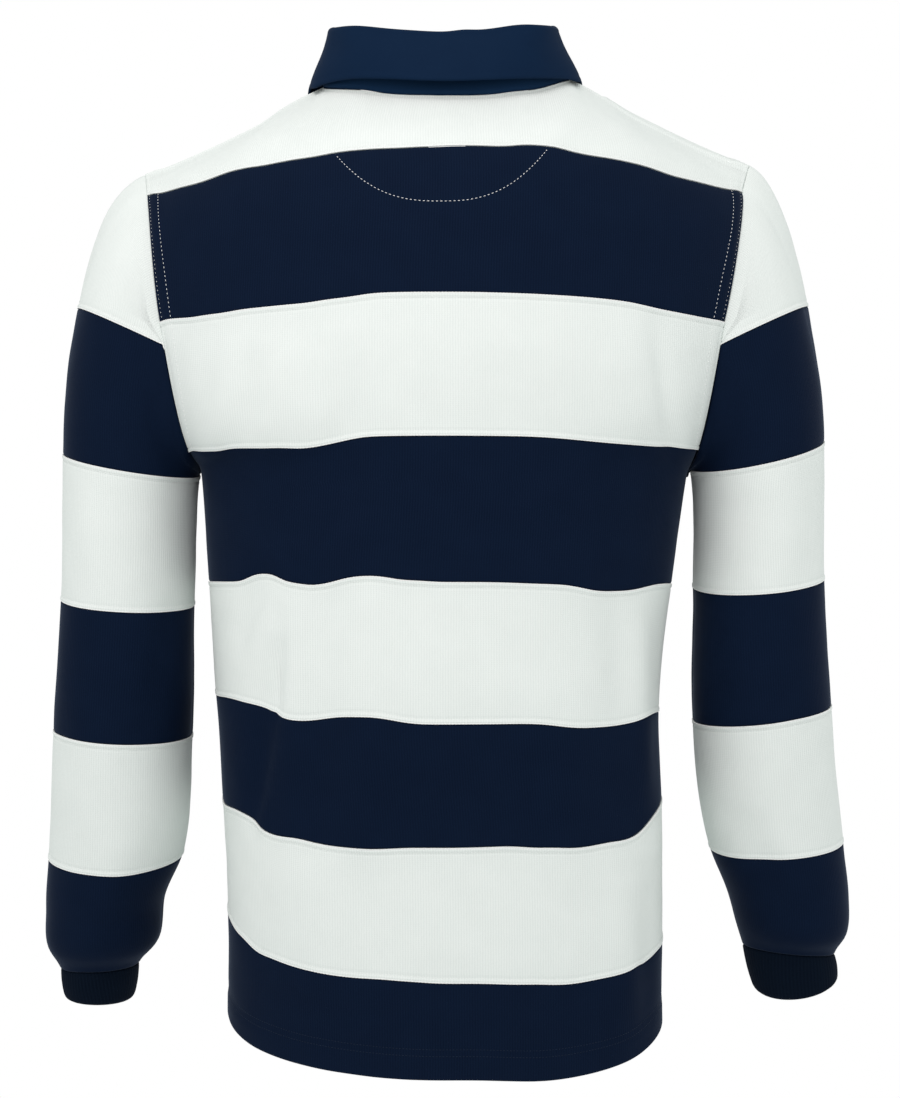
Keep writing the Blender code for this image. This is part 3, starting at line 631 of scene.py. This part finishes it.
def sleeveBands(side):
    # each band of the sleeve as one dense line for each column
    rings = sleeveRings[side]
    angles = math.pi + np.linspace(0, 2 * math.pi, sleeve["around"] + 1)
    hole = armholeLine(side, angles)
    first, below = sleeveRing(rings["B"], angles, side), sleeveRing(rings["C"], angles, side)
    over, toBack = np.cos(angles)[:, None], np.sin(angles)[:, None]
    lift = (1 + over) / 2
    (out, outMore), (fall, fallLess) = capShape["out"], capShape["down"]
    leave = [side * (out + outMore * lift), capShape["back"] * toBack, fall + fallLess * lift]
    leave = np.concatenate(leave, 1)
    leave /= np.linalg.norm(leave, axis=1)[:, None]
    arrive = (below - first) / np.linalg.norm(below - first, axis=1)[:, None]
    reach = np.linalg.norm(first - hole, axis=1)[:, None]
    drop, stay = capCurve[side]
    a, b = hole + (capShape["reach"] - drop * lift**2) * reach * leave, first - stay * reach * arrive

    def at(t):
        t = np.asarray(t, float).reshape(-1, 1)
        return (1 - t)**3 * hole + 3 * t * (1 - t)**2 * a + 3 * t**2 * (1 - t) * b + t**3 * first

    zHole, zOut = capSeam[side]
    xHole, xOut = sideEdge("2", side, True)[0], side * rings["B"][0]
    low, high = np.zeros(len(angles)), np.ones(len(angles))

    def above(t):
        p = at(t)
        share = np.clip((p[:, 0] - xHole) / (xOut - xHole), -capShape["past"], 1 + capShape["past"])
        return p[:, 2] - zHole - (zOut - zHole) * share

    hasCap = above(low) > capShape["least"]
    for _ in range(capShape["halvings"]):
        middle = (low + high) / 2
        up = above(middle) > 0
        low, high = np.where(up, middle, low), np.where(up, high, middle)
    meet = np.where(hasCap, (low + high) / 2, 0)
    count = cloth["samples"]
    made = [np.stack([at(start + reach * i / count) for i in range(count + 1)], 1)
            for start, reach in ((0, meet), (meet, 1 - meet))]
    stops = [at(np.full(len(angles), capShape["flow"]))]
    stops += [sleeveRing(ring, angles, side) for ring in rings.values()]
    columns = [smoothSpans([stop[j] for stop in stops])[1:] for j in range(len(angles))]
    made += [np.array(spans) for spans in zip(*columns)]
    forearm = np.concatenate([made[5], made[6][:, 1:], made[7][:, 1:]], 1)
    return [*made[:5], forearm, made[8]], angles


def sleeveGrids(side):
    bandLines, angles = sleeveBands(side)
    degrees = np.degrees(angles) % 360
    grids, down = [], 0
    for number, lines in enumerate(bandLines):
        usual = max(lengthOf(line) for line in lines[::sleeve["sampled"]])
        if number == 6:
            grids.append(cuffGrid(side, usual))
            continue
        grid = spread(lines, usual).transpose(1, 0, 2)
        normal = normalsOf(grid, around=True) * side
        top, bottom, start, end = borderDistance(grid)
        kind = "tucked" if number % 2 else "puffed"
        lift = creaseLift(np.repeat(degrees[None], len(grid), 0), grid[..., 2], sleeveCreases[side])
        lift += ripple(grid)
        lift += borderLift("eased" if number == 0 else kind, top)
        lift += borderLift("tucked" if number == 5 else kind, bottom)
        lift += borderLift("tucked", start) + borderLift("tucked", end)
        grids.append(raised(grid, normal, lift, down))
        down += usual
    return grids


cuff = {"ribs": 66, "perRib": 6, "rows": 26, "ribDepth": 0.0002, "roll": 0.006, "belly": 0.001,
        "turn": 0.0026, "turnShare": 0.96}


def cuffGrid(side, usual):
    # ribs run down the cuff, and its end is a folded edge that turns in
    rings = sleeveRings[side]
    angles = math.pi + np.linspace(0, 2 * math.pi, cuff["ribs"] * cuff["perRib"] + 1)
    upper, lower = sleeveRing(rings["join"], angles, side), sleeveRing(rings["end"], angles, side)
    t = np.linspace(0, 1, cuff["rows"] + 1)[:, None, None]
    grid = upper[None] + (lower - upper)[None] * t
    normal = normalsOf(grid, around=True) * side
    depth = t[..., 0] * usual
    rib = 0.5 + 0.5 * np.cos(angles * cuff["ribs"])[None]
    fade = np.clip((usual - depth) / cuff["roll"], 0, 1)
    lift = cuff["ribDepth"] * (rib - 1) * np.sqrt(fade) + cuff["belly"] * np.sin(math.pi * t[..., 0])
    lift -= cuff["turn"] * (1 - np.sqrt(1 - (1 - fade) ** 2 * cuff["turnShare"]))
    lift += borderLift("tucked", depth)
    return raised(grid, normal, lift)


sleeveMade = {}
for side, word in ((1, "left"), (-1, "right")):
    grids = sleeveGrids(side)
    sleeveMade[side] = grids
    for number, made in enumerate(grids, 1):
        name, node, wall = f"{word}SleeveBand{number}", f"{word}_sleeve_{number}", cloth["wall"]
        kind = "white_knit" if number % 2 else "navy_knit"
        if number == len(grids):
            name, node, kind, wall = f"{word}Cuff", f"{word}_cuff", "navy_rib", cloth["ribWall"]
        clothPiece(name, node, kind, made, side, wall, weld=True)
print("sleeves made:", len(madeSheets), "pieces of cloth so far")

collar = {
    # the fold all round from its right front end: column, x, y, z
    "crest": [(-10, -0.008, -0.074, -0.031), (-8, -0.064, -0.05, 0.006), (-6, -0.083, -0.015, 0.0385),
              (-5, -0.084, 0.006, 0.047), (-4, -0.08, 0.026, 0.0417), (-3, -0.0735, 0.04, 0.037),
              (0, 0, 0.05, 0.029),
              (3, 0.0745, 0.04, 0.0366), (4, 0.084, 0.026, 0.0408), (5, 0.0885, 0.006, 0.046),
              (6, 0.086, -0.015, 0.0375), (8, 0.064, -0.05, 0.004), (10, 0.008, -0.074, -0.031)],
    # the leaf's edge over the back, from shoulder to shoulder
    "edge": [(-5, -0.1075, -0.002, 0.0066), (-4.5, -0.104, 0.012, 0.0028), (-4, -0.0975, 0.024, 0.0008),
             (-3, -0.0804, 0.044, -0.0045), (0, 0, 0.069, -0.0137), (3, 0.0804, 0.044, -0.0058),
             (4, 0.0975, 0.024, -0.0034), (4.5, 0.104, 0.012, -0.0022), (5, 0.1085, -0.002, 0.0018)],
    # the leaf's edge on the front yoke, to its point: column of the yoke, share of its height, off the cloth
    "front": [(0.52, 0.26, 0.012), (0.48, 0.42, 0.0092), (0.43, 0.62, 0.005), (0.37, 0.84, 0.0055),
              (0.29, 1.05, 0.006)],
    "waver": [(0.066, 0.016, 0.0006), (-0.0135, 0.01, 0.0012), (-0.055, 0.018, 0.0016)],  # of the fold
    "roll": 0.0048,  # half the thickness of the fold over the stand
    "bulge": 0.002,
    "sway": 0.0006,  # the leaf dips below the fold and fills out above its edge, at the sides
    "off": 0.0006,  # the stand's foot above the neckline
    "end": 0.15,  # column where it ends beside the centre front
    "perColumn": 8,
    "neckColumns": 5,
    "standRows": 13, "foldRows": 13, "leafRows": 25,
    "asideFrom": 0.06, "asideBlend": 0.02, "asideBehind": -0.03,  # where the sides of the neck begin
    "unevenness": 0.7,
    "edgeLift": [(0, -0.0006), (0.0007, 0.0001), (0.004, 0.0002), (0.0055, -0.0002), (0.007, 0.0001),
                 (0.012, 0)],
}


def throughNeck(stations):
    columns = [row[0] for row in stations]
    counts = [round((b - a) * collar["perColumn"]) for a, b in zip(columns, columns[1:])]
    spans = smoothSpans([row[1:] for row in stations], counts=counts)
    return np.vstack([spans[0]] + [span[1:] for span in spans[1:]])


def yokePoint(s, share, off):
    # a point off the front yoke, by its column and its share of the way down
    def at(s, share):
        spans = bodyColumn(s, False)
        line, place = (spans[0], share) if share <= 1 else (spans[1], (share - 1) / 2)
        return between(place * (len(line) - 1), range(len(line)), line)
    normal = np.cross(at(s, share + 0.02) - at(s, share - 0.02), at(s + 0.01, share) - at(s - 0.01, share))
    normal /= np.linalg.norm(normal)
    return at(s, share) + (-normal if normal[1] > 0 else normal) * off


def neckFoot(c):
    # the neckline under column c of the collar
    n, share = collar["neckColumns"], neck["share"]
    if abs(c) <= n:
        return topEdge(c / n * share, True)
    k = 2 * n - abs(c)
    k = k if k >= 1 else 1 - (1 - collar["end"]) * (1 - k)
    return topEdge(math.copysign(k / n * share, c), False)


def collarRows():
    crest = throughNeck(collar["crest"])
    for place, width, up in collar["waver"]:
        crest[:, 2] += up * np.exp(-((crest[:, 0] - place) / width) ** 2) * (crest[:, 1] > 0)
    left = [(6 + i, *yokePoint(*row)) for i, row in enumerate(collar["front"])]
    right = [(-6 - i, *yokePoint(-row[0], *row[1:])) for i, row in enumerate(collar["front"])]
    edge = throughNeck([*right[::-1], *collar["edge"], *left])
    count = len(crest)
    feet = np.array([neckFoot(c) for c in np.linspace(-10, 10, count)])
    out = np.cross(np.gradient(crest, axis=0), (0, 0, 1))
    out *= np.sign((out * (crest - crest.mean(0))).sum(1))[:, None]
    out /= np.linalg.norm(out, axis=1)[:, None]
    up = np.array((0, 0, 1))
    roll = collar["roll"]
    low = feet - out * cloth["twillWall"] + up * collar["off"]
    inner = crest - out * roll - up * roll
    stand = [low + (inner - low) * t for t in np.linspace(0, 1, collar["standRows"])]
    fold = [crest - up * roll + roll * (-out * math.cos(a) + up * math.sin(a))
            for a in np.linspace(0, math.pi, collar["foldRows"])]
    outer = fold[-1]
    aside = np.clip((abs(crest[:, 0]) - collar["asideFrom"]) / collar["asideBlend"], 0, 1)[:, None]
    aside = aside * (crest[:, 1:2] > collar["asideBehind"])
    bulged = (outer + edge) / 2 + out * collar["bulge"] * (1 - aside)
    control = 2 * bulged - (outer + edge) / 2
    sway = out * collar["sway"] * aside
    leaf = [(1 - t)**2 * outer + 2 * t * (1 - t) * control + t**2 * edge - sway * math.sin(2 * math.pi * t)
            for t in np.linspace(0, 1, collar["leafRows"])[1:]]
    return np.array(stand), np.array(fold + leaf)


def collarPiece(name, node, grid, edgeRow):
    normal = -normalsOf(grid)
    top, bottom, start, end = borderDistance(grid)
    lift = ripple(grid) * collar["unevenness"]
    if edgeRow:
        lift += profile(collar["edgeLift"], np.minimum(bottom, np.minimum(start, end)))
    # the stand takes the twill painted lighter, painted light in the shade under the leaf
    finish = "navy_twill" if edgeRow else "standTwillPaintedLight"
    clothPiece(name, node, finish, raised(grid, normal, lift), -1, cloth["twillWall"], slot="navy_twill")


standRows, leafRows = collarRows()
collarPiece("collarStand", "collar_stand", standRows, False)
collarPiece("collarLeaf", "collar_leaf", leafRows, True)
print("collar made")

placket = {
    "width": 0.032, "length": 0.15, "below": 0.0045, "off": 0.001, "rows": 42,
    "across": [0, 0.0007, 0.0016, 0.0024, 0.003, 0.0038, 0.0055, 0.009, 0.0125],  # columns from each side
    "down": [0, 0.0007, 0.0016, 0.003, 0.004],  # rows from each end
    "rowsFrom": 0.0065,
    "edgeLift": [(0, -0.0007), (0.0008, 0.0001), (0.0022, 0.0003), (0.003, -0.0001), (0.004, 0.0002),
                 (0.006, 0)],
}
outside = 0.4  # well clear of the cloth, front and back


def surfaceOf(grids):
    # the finished outer faces, for laying things on
    points, faces = [], []
    for made in grids:
        grid = made["points"]
        rows, columns = grid.shape[:2]
        start = len(points)
        points += [Vector(p) for p in grid.reshape(-1, 3)]
        for i in range(rows - 1):
            for j in range(columns - 1):
                a = start + i * columns + j
                faces.append((a, a + 1, a + columns + 1, a + columns))
    return BVHTree.FromPolygons(points, faces)


def onSurface(tree, x, z, out):
    # the point at x and z, met from outside along Y, and its normal
    place, normal, _, _ = tree.ray_cast(Vector((x, out, z)), Vector((0, -out, 0)))
    if normal.y * out < 0:
        normal = -normal
    return np.array(place), np.array(normal)


frontSurface = surfaceOf(frontGrids[:3])
backSurface = surfaceOf(backGrids[:3])


def placketGrid():
    half, length, inner = placket["width"] / 2, placket["length"], placket["rowsFrom"]
    top = -neck["front"][1] - placket["below"]
    across, down = np.array(placket["across"]), np.array(placket["down"])
    across = np.concatenate([-half + across, [0], half - across[::-1]])
    down = np.concatenate([down, np.linspace(inner, length - inner, placket["rows"]), length - down[::-1]])
    grid = np.array([[onSurface(frontSurface, x, top - z, -outside) for x in across] for z in down])
    points, normal = grid[:, :, 0], grid[:, :, 1]
    points = points + normal * (placket["off"] + cloth["twillWall"])
    near = np.minimum.reduce(borderDistance(points))
    points = points + normal * profile(placket["edgeLift"], near)[..., None]
    return {"points": points, "cut": cutMap(points)}


clothPiece("placketStrip", "placket", "navy_twill", placketGrid(), 1, cloth["twillWall"])

button = {"radius": 0.0058, "thick": 0.003, "rim": 0.0011, "dish": 0.0007, "hole": 0.00075, "holeOut": 0.0014,
          "holeSides": 14, "steps": 40, "off": 0.0006, "sharp": 50}


def buttonShape():
    # a turned disc with a raised rim and four holes, its back at y 0 and its face towards -Y
    r, thick, dish = button["radius"], button["thick"], button["dish"]
    outline = [(0, 0), (r * 0.88, 0), (r * 0.97, 0.0003), (r, 0.0009), (r, thick - 0.0009),
               (r * 0.97, thick - 0.0003), (r * 0.9, thick), (r - button["rim"], thick - 0.0001),
               (r - button["rim"] * 1.5, thick - dish), (r * 0.3, thick - dish - 0.0001),
               (0, thick - dish - 0.0001)]
    bm = bmesh.new()
    line = [bm.verts.new((x, -h, 0)) for x, h in outline]
    edges = [bm.edges.new(pair) for pair in zip(line, line[1:])]
    bmesh.ops.spin(bm, geom=line + edges, cent=(0, 0, 0), axis=(0, 1, 0), angle=2 * math.pi,
                   steps=button["steps"], use_merge=True)
    bmesh.ops.remove_doubles(bm, verts=bm.verts, dist=cloth["tiny"])
    bmesh.ops.recalc_face_normals(bm, faces=bm.faces)
    drill = bmesh.new()
    for x in (-1, 1):
        for z in (-1, 1):
            at = Matrix.Translation((x * button["holeOut"], -thick / 2, z * button["holeOut"]))
            bmesh.ops.create_cone(drill, cap_ends=True, segments=button["holeSides"], radius1=button["hole"],
                                  radius2=button["hole"], depth=thick * 2,
                                  matrix=at @ Matrix.Rotation(math.pi / 2, 4, "X"))
    whole, cutter = placed("disc", meshOf(bm, "disc")), placed("drill", meshOf(drill, "drill"))
    bore = whole.modifiers.new("holes", "BOOLEAN")
    bore.operation, bore.object = "DIFFERENCE", cutter
    shape = bpy.data.meshes.new_from_object(whole.evaluated_get(bpy.context.evaluated_depsgraph_get()))
    for ob in (whole, cutter):
        bpy.data.objects.remove(ob)
    return shape


shape = buttonShape()
for number in (1, 2, 3):
    low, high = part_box(f"button_{number}")
    place, normal = onSurface(frontSurface, 0, (low.z + high.z) / 2, -outside)
    turn = Vector((0, -1, 0)).rotation_difference(Vector(normal)).to_matrix().to_4x4()
    seat = place + normal * (placket["off"] + cloth["twillWall"] + button["off"])
    mesh = shape.copy()
    mesh.transform(Matrix.Translation(Vector(seat)) @ turn)
    mesh.shade_smooth()
    mesh.set_sharp_from_angle(angle=math.radians(button["sharp"]))
    piece = placed(f"button{number}", mesh)
    mesh.materials.append(finishes["rubber"])
    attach(piece, "root")
    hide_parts(f"button_{number}")
print("placket and buttons made")

stitches = {  # pitch along the row, length and half thickness of a stitch
    "seam": {"pitch": 0.0023, "long": 0.0014, "thick": 0.00018},
    # the edge row overlaps into a cord of bright thread along each seam: a rolled edge, and partly painted
    # highlight on it
    "edge": {"pitch": 0.0024, "long": 0.0036, "thick": 0.00055},
    "top": {"pitch": 0.0034, "long": 0.0016, "thick": 0.00028},
    "small": {"pitch": 0.0034, "long": 0.0011, "thick": 0.0002},
    "moon": {"pitch": 0.0031, "long": 0.0017, "thick": 0.00026},
    "hem": {"pitch": 0.0024, "long": 0.0016, "thick": 0.0002},
}
bead = {"flat": 0.6, "proud": 0.35, "ahead": 0.0004, "around": 5, "rings": 4}
rowsFrom = {  # how far each row lies from its border
    "seams": [(0.0006, "edge"), (0.004, "seam")],
    "armhole": [(0.0036, "small"), (0.014, "top")],
    "hem": [0.0185, 0.0235],
}


def sewnRow(points, normals, size):
    # one flat bead for each stitch along a row that lies on the cloth
    travel = travelAlong(points)
    beads = []
    for i in range(int(travel[-1] / size["pitch"])):
        d = (i + 0.5) * size["pitch"]
        at = between(d, travel, points)
        run = Vector(between(d + bead["ahead"], travel, points) - at).normalized()
        up = Vector(between(d, travel, normals)).normalized()
        side = run.cross(up).normalized()
        if run.length < 0.5 or side.length < 0.5:
            continue
        up = side.cross(run)
        flat = up * size["thick"] * bead["flat"]
        turned = Matrix((run * size["long"] / 2, side * size["thick"], flat)).transposed().to_4x4()
        beads.append(Matrix.Translation(Vector(at) + up * size["thick"] * bead["proud"]) @ turned)
    return beads


def sewn(name, beads, thread):
    one = bmesh.new()
    bmesh.ops.create_uvsphere(one, u_segments=bead["around"], v_segments=bead["rings"], radius=1.0,
                              matrix=Matrix.Rotation(math.pi / 2, 4, "Y"))
    count = len(one.verts)
    stitch = meshOf(one, "stitch")
    bm = bmesh.new()
    for _ in beads:
        bm.from_mesh(stitch)
    bm.verts.ensure_lookup_table()
    for i, matrix in enumerate(beads):
        for v in bm.verts[i * count:(i + 1) * count]:
            v.co = matrix @ v.co
    mesh = meshOf(bm, name)
    mesh.shade_smooth()
    mesh.materials.append(finishes[thread])
    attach(placed(name, mesh), "root")
    print(name, len(beads), "stitches")


def sewnLine(made, distance, fromEnd, stitch, downwards=False):
    # stitches at that distance from a seam, or from a side border
    points, normals = made["points"], made["normal"]
    if not downwards:
        points, normals = points.transpose(1, 0, 2), normals.transpose(1, 0, 2)
    step = -1 if fromEnd else 1
    found = np.array([[between(distance, travelAlong(line), row) for row in (line, normal)]
                      for line, normal in zip(points[:, ::step], normals[:, ::step])])
    return sewnRow(found[:, 0], found[:, 1], stitches[stitch])


def sewSeams(grids, last):
    beads = []
    for number in range(0, last, 2):  # the white bands
        for distance, stitch in rowsFrom["seams"]:
            for fromEnd in (False, True) if number else (True,):
                beads += sewnLine(grids[number], distance, fromEnd, stitch)
    return beads


sewn("backSeamStitches", sewSeams(backGrids, 8), "whiteThread")
sewn("frontSeamStitches", sewSeams(frontGrids, 8), "whiteThread")
for side, word in ((1, "left"), (-1, "right")):
    sewn(f"{word}SleeveStitches", sewSeams(sleeveMade[side], 6), "whiteThread")

beads = []
for grids in (backGrids, frontGrids):
    for made in grids[:3]:
        for fromEnd in (False, True):
            for distance, stitch in rowsFrom["armhole"]:
                beads += sewnLine(made, distance, fromEnd, stitch, True)
sewn("armholeStitches", beads, "whiteThread")

moon = {"left": 0.0797, "right": -0.0733, "low": -0.1171, "leftTop": -0.0782, "rightTop": -0.0752,
        "power": 2.6, "points": 61}
centre, reach = (moon["left"] + moon["right"]) / 2, (moon["left"] - moon["right"]) / 2
arc = []
for u in np.linspace(-1, 1, moon["points"]):
    top = moon["leftTop"] if u > 0 else moon["rightTop"]
    z = moon["low"] + (top - moon["low"]) * abs(u) ** moon["power"]
    arc.append(onSurface(backSurface, centre + reach * u, z, outside))
arc = np.array(arc)
sewn("halfMoonStitches", sewnRow(arc[:, 0], arc[:, 1], stitches["moon"]), "whiteThread")

beads = []
for grids in (backGrids, frontGrids):
    for distance in rowsFrom["hem"]:
        beads += sewnLine(grids[-1], distance, True, "hem")
sewn("hemStitches", beads, "navyThread")


# What the shirt stands before.
studio = {"floorDrop": 1.45, "floorRadius": 1.7, "floorTone": (0.78, 0.79, 0.79, 1),
          "floor": {"rough": 0.9, "shine": 0.5},
          "ambient": (0.611, 0.64, 0.634, 1), "lamps": (1, 0.9, 0.92), "power": 1.12,
          "lens": 50, "camera": (-0.0032, 1.205, -0.3626)}
floorMesh = bmesh.new()
bmesh.ops.create_circle(floorMesh, cap_ends=True, radius=studio["floorRadius"], segments=96,
                        matrix=Matrix.Translation((0, 0, -studio["floorDrop"])))
floor = placed("floor", meshOf(floorMesh, "floor"))
floorFinish = Finish("paleFloor", studio["floor"])
floorFinish.set(floorFinish.shader, {"Base Color": studio["floorTone"]})
floor.data.materials.append(floorFinish.made)

world = bpy.context.scene.world or bpy.data.worlds.new("studio")
bpy.context.scene.world = world
world.use_nodes = True
worldNodes, worldLinks = world.node_tree.nodes, world.node_tree.links
seen = worldNodes.new("ShaderNodeLightPath")
glow = worldNodes.new("ShaderNodeMix")
glow.data_type = "RGBA"
glow.inputs[6].default_value = studio["ambient"]
glow.inputs[7].default_value = (1, 1, 1, 1)  # the backdrop itself is pure white
worldLinks.new(seen.outputs["Is Camera Ray"], glow.inputs["Factor"])
worldLinks.new(glow.outputs[2], worldNodes["Background"].inputs["Color"])

softboxes = {  # where, aimed at, width, power
    "key": ((0.6, 1.5, 1.6), (0, 0, -0.2), 1.5, 17),
    "frontal": ((0, 2.8, -0.2), (0, 0, -0.36), 1.6, 6),
    "near": ((0, 0.85, 0.12), (0, 0, -0.22), 0.5, 0.9),
    "leftSide": ((1.5, 0.8, 0.1), (0.25, 0, -0.3), 0.8, 1.8),
    "rightSide": ((-1.5, 0.8, 0.1), (-0.25, 0, -0.3), 0.8, 1.8),
    "leftRim": ((1.8, -0.6, -0.2), (0.2, 0, -0.35), 1.2, 1.2),
    "rightRim": ((-1.8, -0.6, -0.2), (-0.2, 0, -0.35), 1.2, 3.5),
    "frontFill": ((0.3, -2.2, 0.5), (0, 0, -0.35), 1.6, 8),
}
for name, (place, aim, width, power) in softboxes.items():
    lamp = bpy.data.lights.new(name, "AREA")
    lamp.size, lamp.energy, lamp.color = width, power * studio["power"], studio["lamps"]
    lit = placed(name, lamp)
    lit.location = place
    lit.rotation_euler = (Vector(aim) - Vector(place)).to_track_quat("-Z", "Y").to_euler()

lens = bpy.data.cameras.new("camera")
lens.lens = studio["lens"]
camera = placed("camera", lens)
camera.location = studio["camera"]
camera.rotation_euler = (math.pi / 2, 0, math.pi)
bpy.context.scene.camera = camera
bpy.context.scene.view_settings.view_transform = "Standard"
print("stage, lights and camera set")

for name, made in madeSheets.items():
    piece = made["piece"]
    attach(piece, "root")
    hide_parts(made["node"])
